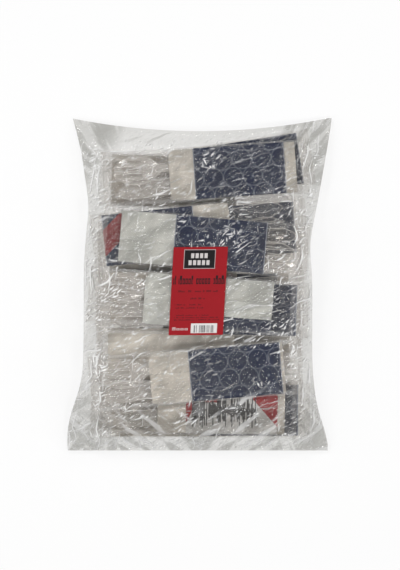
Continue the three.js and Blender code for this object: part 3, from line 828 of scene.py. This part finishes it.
bag_film = film_material("bag_film", tint=(0.957, 0.954, 0.946), shade=(0.69, 0.687, 0.67), haze=0.008,
                         streaks=1.0, lean=38.0, end=164.0, edge=0.5, bag=True)
sleeve_film = film_material("sleeve_film", tint=(0.975, 0.97, 0.965), shade=(0.86, 0.85, 0.84), haze=0.006,
                            streaks=0.62, lean=30.0, end=NO_END, edge=0.2, bag=False)
bare_film = film_material("bare_film", tint=(0.975, 0.97, 0.965), shade=(0.88, 0.87, 0.86), haze=0.004,
                          streaks=0.28, lean=30.0, end=NO_END, edge=0.2, bag=False)
sleeve_crimp = clear_material("sleeve_crimp", (0.965, 0.96, 0.955), gloss=0.05, roughness=0.12, haze=0.09)
clear_plastic = clear_material("clear_plastic", (0.997, 0.995, 0.993), gloss=0.03, roughness=0.07, haze=0.19)
bare_plastic = clear_material("bare_plastic", (0.985, 0.98, 0.975), gloss=0.04, roughness=0.07, haze=0.03)
inner_film = clear_material("inner_film", (0.99, 0.988, 0.985), gloss=0.03, roughness=0.12, haze=0.03)
# Painted light and shade on the cutlery's cut edges: a darker, milkier rim that outlines each piece
painted_rim_light_and_shade = clear_material("clear_plastic_painted_rim", (0.8, 0.77, 0.74), gloss=0.12, roughness=0.12, haze=0.42)
warm_paper = paper_material("napkin_warm", (0.68, 0.635, 0.57), NAPKIN_FOLD)
cool_paper = paper_material("napkin_cool", (0.62, 0.625, 0.588), NAPKIN_FOLD)
navy_foil = foil_material("sachet_navy", navy_print)
white_foil = foil_material("sachet_white", white_print)
banded_foil = foil_material("sachet_banded", banded_print)
label_paper = label_material()


# One set's pieces, in the set's own millimetres

def moulded(soup, x, half, level, dish, lanes):
    """A thin clear moulding along X, with its cut edges as a rim of their own that carries painted light and
    shade.
    """
    inner = 1 - np.clip(RIM / np.maximum(half, 0.1), 0.04, 0.45)[:, None]
    outer = np.ones((len(x), 1))
    share = np.concatenate([-outer, inner * np.linspace(-1, 1, lanes)[None, :], outer], axis=1)
    lanes += 2
    gx = np.repeat(x[:, None], lanes, axis=1)
    gy = half[:, None] * share
    low = level[:, None] - dish[:, None] * (1 - share ** 2)
    for first, last, number in ((0, 2, 1), (1, lanes - 1, 0), (lanes - 2, lanes, 1)):
        part = slice(first, last)
        soup.grid(gx[:, part], gy[:, part], low[:, part] + PLASTIC, number)
    soup.grid(gx, gy, low, flip=True)
    for lane, flip in ((0, False), (lanes - 1, True)):
        ex = np.stack([gx[:, lane], gx[:, lane]], axis=1)
        ey = np.stack([gy[:, lane], gy[:, lane]], axis=1)
        ez = np.stack([low[:, lane], low[:, lane] + PLASTIC], axis=1)
        soup.grid(ex, ey, ez, number=1, flip=flip)
    for end in (0, -1):
        ex = np.stack([gx[end], gx[end]], axis=1)
        ey = np.stack([gy[end], gy[end]], axis=1)
        ez = np.stack([low[end], low[end] + PLASTIC], axis=1)
        soup.grid(ex, ey, ez, number=1, flip=end == 0)


def along(pairs, x):
    """A smooth run through pairs of place and value."""
    places, values = zip(*pairs)
    share = np.interp(x, places, np.arange(len(places)))
    step = np.floor(np.clip(share, 0, len(places) - 1.001)).astype(int)
    part = share - step
    part = part * part * (3 - 2 * part)
    values = np.array(values, float)
    return values[step] * (1 - part) + values[np.minimum(step + 1, len(values) - 1)] * part


# Places along a piece from its head, with its half width there
HANDLE = [(70, 3.2), (120, 4.6), (152, 5.6), (161, 4.6), (165, 1.6)]
BLADE = [(0, 0.8), (6, 5.4), (14, 8.2), (55, 8.4), (64, 7.4), (72, 4.2), (84, 3.2)]
BOWL_SIDE = 15.5
BOWL_DEPTH = 3.6
TINES = 4
TINE_LENGTH = 30
TINE_PITCH = 6.87
FORK_DEPTH = 2.3
FORK_BEND = 55


def spoon():
    soup = Soup()
    x = np.concatenate([25 - 25 * np.cos(np.linspace(0, math.pi, 22)), np.linspace(53, 165, 26)])
    bowl = BOWL_SIDE * np.sqrt(np.clip(1 - ((x - 23) / 23.6) ** 2, 0, 1))
    half = np.where(x < 44, np.maximum(bowl, 0.8), along([(44, 6.6), (50, 3.4), *HANDLE], x))
    level = along([(0, BOWL_DEPTH), (50, BOWL_DEPTH), (59, 0.0), (165, 0.0)], x)
    dish = BOWL_DEPTH * np.clip(1 - ((x - 24) / 25) ** 2, 0, 1)
    moulded(soup, x, half, level, dish, 13)
    return soup


def fork_bend(x):
    return FORK_DEPTH * np.sin(math.pi * 0.7 * np.clip((FORK_BEND - x) / FORK_BEND, 0, 1))


def fork():
    soup = Soup()
    x = np.concatenate([np.linspace(29.5, 56, 12), np.linspace(58, 165, 24)])
    half = along([(29.5, 12), (36, 11.6), (47, 4.4), (56, 3.2), *HANDLE], x)
    moulded(soup, x, half, fork_bend(x), np.zeros(len(x)), 5)
    for n in range(TINES):
        tine = Soup()
        tx = np.linspace(0, TINE_LENGTH, 9)
        th = along([(0, 0.5), (5, 1.15), (TINE_LENGTH, 1.7)], tx)
        moulded(tine, tx, th, fork_bend(tx), np.zeros(len(tx)), 3)
        tine.move(lambda p, n=n: p + np.array([0, (n - (TINES - 1) / 2) * TINE_PITCH, 0]))
        soup.merge(tine)
    return soup


def knife():
    soup = Soup()
    x = np.concatenate([np.linspace(0, 14, 8), np.linspace(18, 165, 34)])
    half = along([*BLADE, *HANDLE[1:]], x)
    moulded(soup, x, half, np.zeros(len(x)), np.zeros(len(x)), 5)
    return soup


def turned(points, degrees, pivot):
    c, s = math.cos(math.radians(degrees)), math.sin(math.radians(degrees))
    out = points.copy()
    out[:, 0] = (points[:, 0] - pivot) * c - points[:, 1] * s + pivot
    out[:, 1] = (points[:, 0] - pivot) * s + points[:, 1] * c
    return out


def cutlery():
    soup = Soup()
    lay = ((spoon(), 0.0, 0.0, 8.0), (fork(), PLASTIC, -0.6, 8.0), (knife(), PLASTIC, 5.5, 0.0))
    for piece, lift, turn, aside in lay:
        shift = np.array([CUTLERY_START, aside, CUTLERY_LEVEL + lift])
        piece.move(lambda p, turn=turn, shift=shift: turned(p, turn, CUTLERY_LENGTH) + shift)
        soup.merge(piece)
    return soup


def pad(soup, start, length, side, level, thickness, puff, columns, rows, seed, ripple, rounded=0.0):
    """A soft flat piece whose top swells and whose edges are rounded."""
    u = np.linspace(0, 1, columns)
    v = np.linspace(-1, 1, rows)
    gu, gv = np.meshgrid(u, v, indexing="ij")
    x = start + gu * length
    bite = np.clip(1 - gu * length / CORNER, 0, 1) * rounded
    y = gv * side * np.sqrt(1 - 0.4 * bite ** 2)
    rim = np.minimum(np.minimum(gu, 1 - gu) * length, (1 - np.abs(gv)) * side)
    swell = np.clip(rim / puff, 0, 1)
    swell = np.sqrt(np.clip(1 - (1 - swell) ** 2, 0, 1))
    wave = ripple * crumple(x, y, 17.0, 0.1, seed) * swell
    soup.grid(x, y, level + PAD_EDGE + (thickness - PAD_EDGE) * swell + wave)
    soup.grid(x, y, level + PAD_UNDER - PAD_UNDER * swell, flip=True)


def tuck(points, share):
    """The front half drawn in towards the handle end."""
    part = np.clip((points[:, 0] - TUCK_START) / (TUCK_FULL - TUCK_START), 0, 1)
    part = part * part * (3 - 2 * part)
    out = points.copy()
    out[:, 1] = np.where(points[:, 1] < 0, points[:, 1] * (1 - share * part), points[:, 1])
    return out


def napkin(seed, level, start, end):
    """A folded napkin: a wide strip with a narrower flap folded over it."""
    soup = Soup()
    length = end - start
    pad(soup, start, length, NAPKIN_SIDE, level, thickness=1.0, puff=1.4, columns=42, rows=20, seed=seed,
        ripple=0.3, rounded=1.0)
    flap = Soup()
    pad(flap, start + 0.4, length - 0.8, FLAP_SIDE, level + 0.9, thickness=0.9, puff=1.2, columns=42, rows=14,
        seed=seed + 3, ripple=0.3, rounded=0.6)
    flap.move(lambda p: p + np.array([0, FLAP_AT, 0]))
    flap.flats = [f + np.array([0, FLAP_AT]) for f in flap.flats]
    soup.merge(flap)
    return soup


def sachet(seed, level, at):
    """A foil sachet with crimped ends and a soft middle."""
    soup = Soup()
    start = NAPKIN_END - at * SACHET_ROOM - SACHET_LENGTH
    pad(soup, start, SACHET_LENGTH, SACHET_SIDE, level, SACHET_THICKNESS, puff=11.0, columns=46, rows=28,
        seed=seed, ripple=0.5)
    soup.flats = [flat - np.array([start, 0.0]) for flat in soup.flats]
    return soup


def sleeve(seed):
    """A clear film tube, crimped flat at both ends and pleated towards the crimps."""
    soup = Soup()
    end = np.linspace(SLEEVE_END, SLEEVE_HALF, 14)
    u = np.concatenate([-end[::-1], np.linspace(3 - SLEEVE_END, SLEEVE_END - 3, 64), end])
    v = np.linspace(-1, 1, 26)
    x, v = np.meshgrid(u, v, indexing="ij")
    crimp_at = SLEEVE_HALF - CRIMP
    reach = np.clip((crimp_at - np.abs(x)) / (crimp_at - SLEEVE_FULL), 0, 1)
    reach = np.sin(reach * math.pi / 2)
    waist = 1 - 0.03 * reach + 0.02 * np.sin(x / 9.0 + seed) * (1 - reach)
    y = v * SLEEVE_SIDE * waist
    edge = np.sqrt(np.clip(1 - np.abs(v) ** 6, 0, 1))
    middle = SET_HEIGHT / 2
    pleat = 0.5 * np.sin(v * 31.0 + seed) * (1 - reach) * np.clip((SLEEVE_HALF - np.abs(x)) / 12, 0, 1)
    crush = crumple(x, y, 23.0, 0.14, seed) + crumple(x, y, 8.5, 0.16, seed + 5)
    crush += creases(x, y, 16, seed, (100, 26), lean=40, lean_spread=40, length=34, width=2.2, height=0.9)
    crush = crush * edge * (0.25 + 0.75 * reach)
    top = middle + (SET_HEIGHT - 0.4 - middle) * reach * edge + pleat + 0.5 * crush
    low = middle - (middle - 0.15) * reach * edge + pleat + 0.25 * np.abs(crush)
    soup.grid(x, y, np.clip(top, low + 0.05, SET_HEIGHT + 0.2))
    soup.grid(x, y, np.maximum(low, 0.05), flip=True)
    places = np.concatenate(soup.points)[:, 0]
    soup.numbers = [int(np.abs(places[face]).min() > crimp_at - 0.5) for face in soup.faces]
    soup.flats = [flat + np.array([0.0, SHEET * seed]) for flat in soup.flats]
    return soup


def settle(spec):
    """How a set's own millimetres go into the bag."""
    x, y, turn, layer, down = spec[1:6]
    c, s = math.cos(math.radians(turn)), math.sin(math.radians(turn))
    base = level_of(layer)

    def place(p):
        side = -1.0 if down else 1.0
        lx, ly = p[:, 0], side * p[:, 1]
        lz = SET_HEIGHT - p[:, 2] if down else p[:, 2]
        return np.stack([x + lx * c - ly * s, y + lx * s + ly * c, base + lz], axis=1)

    return place


def put_set(number, spec):
    name, print_name, paper_name, at, over = spec[0], *spec[6:10]
    place = settle(spec)
    napkin_start = NAPKIN_START - LET_OUT.get(name, 0.0)
    napkin_end = NAPKIN_END - FOLDED_BACK.get(name, 0.0)
    napkin_level = UPPER_LEVEL if over else LOWER_LEVEL
    foil = {"navy": navy_foil, "white": white_foil, "banded": banded_foil}[print_name]
    foil_slot = "sachet_white" if print_name == "white" else "sachet_navy"
    plastic, film = (bare_plastic, bare_film) if name in BARE else (clear_plastic, sleeve_film)
    paper = cool_paper if paper_name == "cool" else warm_paper
    pieces = {
        "cutlery": (cutlery(), [plastic, painted_rim_light_and_shade], "clear_plastic"),
        "napkin": (napkin(number, napkin_level, napkin_start, napkin_end), [paper], "napkin_" + paper_name),
        "wet_wipe": (sachet(number + 40, LOWER_LEVEL if over else UPPER_LEVEL, at), [foil], foil_slot),
        "sleeve": (sleeve(number + 80), [film, sleeve_crimp], "sleeve_film"),
    }
    inner = name.startswith("inner")
    whole = Soup()
    materials = []
    pieces["napkin"][0].move(lambda p: tuck(p, TUCKED.get(name, 0.0)))
    for kind, (soup, looks, slot) in pieces.items():
        soup.move(place)
        if inner:
            looks = [inner_film, sleeve_crimp] if kind == "sleeve" else looks
            soup.numbers = [k + len(materials) for k in soup.numbers]
            materials += looks
            whole.merge(soup)
        else:
            keep(soup.make(name + "_" + kind + "_look", looks), slot, name + "_" + kind)
    if inner:
        keep(whole.make(name + "_look", materials), "inner_pack", name)


for number, spec in enumerate(PILE):
    put_set(number, spec)


# The bag: a film drawn over the pile, held down at its edges

def side(points, y):
    places, values = zip(*points)
    return np.interp(y, places, values)


def smooth_side(points, y):
    """The outline with its corners eased, but not at the ends."""
    room = np.minimum(14.0, np.minimum(BAG_TOP - y, y - BAG_BOTTOM))
    return np.mean([side(points, y + share * room) for share in np.linspace(-1, 1, 9)], axis=0)


def bag_plan(columns, rows):
    s = (1 - np.cos(np.linspace(0, math.pi, columns))) / 2
    s = 0.45 * s + 0.55 * np.linspace(0, 1, columns)
    t = np.linspace(0, 1, rows)
    s, t = np.meshgrid(s, t, indexing="ij")
    level = BAG_BOTTOM + t * (BAG_TOP - BAG_BOTTOM)
    left = smooth_side(LEFT_SIDE, level)
    right = smooth_side(RIGHT_SIDE, level)
    x = left + s * (right - left)
    sag = TOP_SAG * np.clip(1 - (x / TOP_HALF) ** 2, 0, 1)
    y = BAG_BOTTOM + t * (BAG_TOP - sag - BAG_BOTTOM)
    from_side = np.minimum(x - left, right - x)
    from_end = np.minimum(y - BAG_BOTTOM, BAG_TOP - sag - y)
    edge = SEAL_LEVEL + (SIDE_LEVEL - SEAL_LEVEL) * (1 - np.abs(2 * y / (BAG_TOP - BAG_BOTTOM)) ** 4)
    return x, y, from_side, from_end, edge


def into(spec_x, spec_y, turn, x, y):
    c, s = math.cos(math.radians(turn)), math.sin(math.radians(turn))
    return (x - spec_x) * c + (y - spec_y) * s, (y - spec_y) * c - (x - spec_x) * s


def pile_top(x, y):
    """The top of the sets under each point, or far below where there is none."""
    top = np.full(x.shape, NO_SET)
    for spec in PILE:
        lx, ly = into(spec[1], spec[2], spec[3], x, y)
        drop = np.clip((np.abs(lx) - FALL_FROM) * FALL_SLOPE, 0, FALL_MOST)
        inside = (np.abs(lx) < SLEEVE_HALF + FILM_MARGIN) & (np.abs(ly) < SLEEVE_SIDE + FILM_MARGIN)
        top = np.maximum(top, np.where(inside, level_of(spec[4]) + SET_HEIGHT - drop, NO_SET))
    return top


def drawn_film(columns, rows, rounds):
    """The height of a taut film over the pile, by easing each point towards its neighbours."""
    x, y, from_side, from_end, edge = bag_plan(columns, rows)
    rest = pile_top(x, y) + FILM_CLEAR
    held = (from_side <= 0.01) | (from_end <= SEAL + 0.5)
    z = np.where(held, edge, np.maximum(rest, edge))
    for _ in range(rounds):
        near = np.pad(z, 1, mode="edge")
        mean = (near[:-2, 1:-1] + near[2:, 1:-1] + near[1:-1, :-2] + near[1:-1, 2:]) / 4
        z = np.where(held, edge, np.maximum(mean + FILM_LIFT, rest))
    return z


def refine(coarse, columns, rows):
    """The same heights on a finer grid."""
    def stretch(values, count):
        old = np.linspace(0, 1, values.shape[0])
        new = np.linspace(0, 1, count)
        return np.stack([np.interp(new, old, values[:, k]) for k in range(values.shape[1])], axis=1)
    return stretch(stretch(coarse, columns).T, rows).T


def bag():
    x, y, from_side, from_end, edge = bag_plan(BAG_COLUMNS, BAG_ROWS)
    top = refine(drawn_film(COARSE_COLUMNS, COARSE_ROWS, EASING_ROUNDS), BAG_COLUMNS, BAG_ROWS)
    lx, ly = into(LABEL["x"], LABEL["y"], LABEL["turn"], x, y)
    from_label = np.maximum(np.abs(lx) - LABEL["width"] / 2, np.abs(ly) - LABEL["height"] / 2)
    from_edge = np.minimum(from_side, np.maximum(0, from_end - SEAL))
    free = np.clip(from_edge / FREE_RUN, 0, 1)
    calm = np.clip((from_label + 1.0) / 6, 0, 1)
    crush = crumple(x, y, 38.0, 0.15, 3) + crumple(x, y, 16.0, 0.2, 11) + crumple(x, y, 7.0, 0.17, 23)
    crush += creases(x, y, 70, 5, CREASED, lean=42, lean_spread=28, length=55, width=2.6, height=1.5)
    crush += creases(x, y, 26, 6, CREASED, lean=100, lean_spread=40, length=30, width=2.4, height=1.3)
    crush = CRUSH_MOST * np.tanh(crush / CRUSH_MOST)
    top = top + 0.8 * (crush * free * calm) + 0.4 * free * calm
    top = np.where(from_label < LABEL_MARGIN, np.minimum(top, LABEL_LEVEL - 0.25), top)
    reach = np.clip(from_edge / BACK_RUN, 0, 1)
    low = edge * (1 - np.sin(reach * math.pi / 2))
    back = crumple(x, y, 26.0, 0.1, 31) + crumple(x, y, 9.0, 0.1, 37)
    back += creases(x, y, 40, 8, CREASED, lean=42, lean_spread=28, length=45, width=2.6, height=0.8)
    low = low + 0.35 * np.abs(back) * free
    ribs = 0.12 * np.sin(x * 2.6) * (from_end < SEAL)
    top = np.maximum(top + ribs, low + 0.15)
    soup = Soup()
    soup.grid(x, y, top)
    soup.grid(x, y, low + ribs, flip=True)
    keep(soup.make("bag_film_look", [bag_film]), "bag_film", "outer_bag")


bag()


def label():
    soup = Soup()
    u = np.linspace(-0.5, 0.5, LABEL_COLUMNS)
    v = np.linspace(-0.5, 0.5, LABEL_LINES)
    u, v = np.meshgrid(u, v, indexing="ij")
    lx, ly = u * LABEL["width"], v * LABEL["height"]
    across = math.radians(LABEL["turn"] + LABEL["skew"])
    upright = math.radians(LABEL["turn"] - LABEL["skew"])
    curl = 0.12 * crumple(lx, ly, 30.0, 0.12, 51)
    x = LABEL["x"] + lx * math.cos(across) - ly * math.sin(upright)
    y = LABEL["y"] + lx * math.sin(across) + ly * math.cos(upright)
    flat = np.stack([lx.ravel(), ly.ravel()], axis=1)
    for lift, flip in ((LABEL_THICKNESS, False), (0.0, True)):
        z = LABEL_LEVEL + 0.1 + lift + np.abs(curl)
        points = np.stack([x.ravel(), y.ravel(), z.ravel()], axis=1)
        soup.add(points, grid_faces(LABEL_COLUMNS, LABEL_LINES, flip), 0, flat)
    keep(soup.make("label_look", [label_paper]), "label_red", "label")


label()


# Stage, camera and light: the floor in millimetres, the rest in metres

FLOOR_HALF = 12000.0
FLOOR_GAP = 0.0005
# How much of the floor that is seen is plain white, not lit
FLOOR_GLOW = 0.75
ROOM_LIGHT = 0.22
# name, azimuth, elevation, distance, size and watts of each lamp
LAMPS = (
    ("left_upper", 125, 58, 1.3, (0.22, 0.22), 4.0),
    ("right_upper", 40, 48, 1.3, (0.1, 0.5), 3.2),
    ("left_lower", 215, 50, 1.3, (0.12, 0.4), 3.2),
    ("right_lower", 305, 62, 1.3, (0.2, 0.2), 3.2),
    ("low_left", 175, 32, 1.4, (0.1, 0.6), 2.4),
    ("low_right", 350, 36, 1.4, (0.1, 0.6), 2.4),
)
# The camera looks straight down, and its view is this high at the level of the bag's seals
CAMERA_HEIGHT = 2.4
CAMERA_PLACE = (0.0005, -0.0008)
VIEW_HEIGHT = 0.5985
SENSOR_HEIGHT = 24.0


def stage():
    soup = Soup()
    corners = [(-FLOOR_HALF, -FLOOR_HALF, 0), (FLOOR_HALF, -FLOOR_HALF, 0),
               (FLOOR_HALF, FLOOR_HALF, 0), (-FLOOR_HALF, FLOOR_HALF, 0)]
    soup.add(corners, [(0, 1, 2, 3)])
    n = Nodes("floor")
    path = n.new("ShaderNodeLightPath")
    seen = n.most(path.outputs["Is Camera Ray"], path.outputs["Is Glossy Ray"])
    seen = n.most(seen, path.outputs["Is Transmission Ray"])
    plain = n.shader("ShaderNodeBsdfDiffuse", Color=(0.97, 0.97, 0.97))
    bright = n.shader("ShaderNodeEmission", Color=(1.0, 1.0, 1.0), Strength=1.0)
    white = n.finish(n.blend(n.mul(seen, FLOOR_GLOW), plain, bright))
    floor = soup.make("floor", [white])
    floor.location.z = -FLOOR_GAP


stage()

scene = bpy.context.scene
scene.view_settings.view_transform = "Standard"
scene.cycles.transparent_max_bounces = 48
scene.cycles.max_bounces = 5
scene.cycles.diffuse_bounces = 3
scene.cycles.glossy_bounces = 2

world = bpy.data.worlds.new("room")
scene.world = world
world.use_nodes = True
world.node_tree.nodes["Background"].inputs[0].default_value = (1.0, 1.0, 1.0, 1.0)
world.node_tree.nodes["Background"].inputs[1].default_value = ROOM_LIGHT


def lamp(name, azimuth, elevation, distance, size, watts):
    data = bpy.data.lights.new(name, "AREA")
    data.shape = "RECTANGLE"
    data.size, data.size_y = size
    data.energy = watts
    obj = bpy.data.objects.new(name, data)
    a, e = math.radians(azimuth), math.radians(elevation)
    flat = distance * math.cos(e)
    obj.location = (flat * math.cos(a), flat * math.sin(a), distance * math.sin(e))
    direction = -obj.location
    obj.rotation_euler = direction.to_track_quat("-Z", "Y").to_euler()
    scene.collection.objects.link(obj)


for spec in LAMPS:
    lamp(*spec)

camera_data = bpy.data.cameras.new("camera")
camera = bpy.data.objects.new("camera", camera_data)
scene.collection.objects.link(camera)
scene.camera = camera
camera_data.sensor_fit = "VERTICAL"
camera_data.sensor_height = SENSOR_HEIGHT
camera_data.lens = SENSOR_HEIGHT * (CAMERA_HEIGHT - SEAL_LEVEL * MM) / VIEW_HEIGHT
camera.location = (*CAMERA_PLACE, CAMERA_HEIGHT)
camera.rotation_euler = (0.0, 0.0, 0.0)
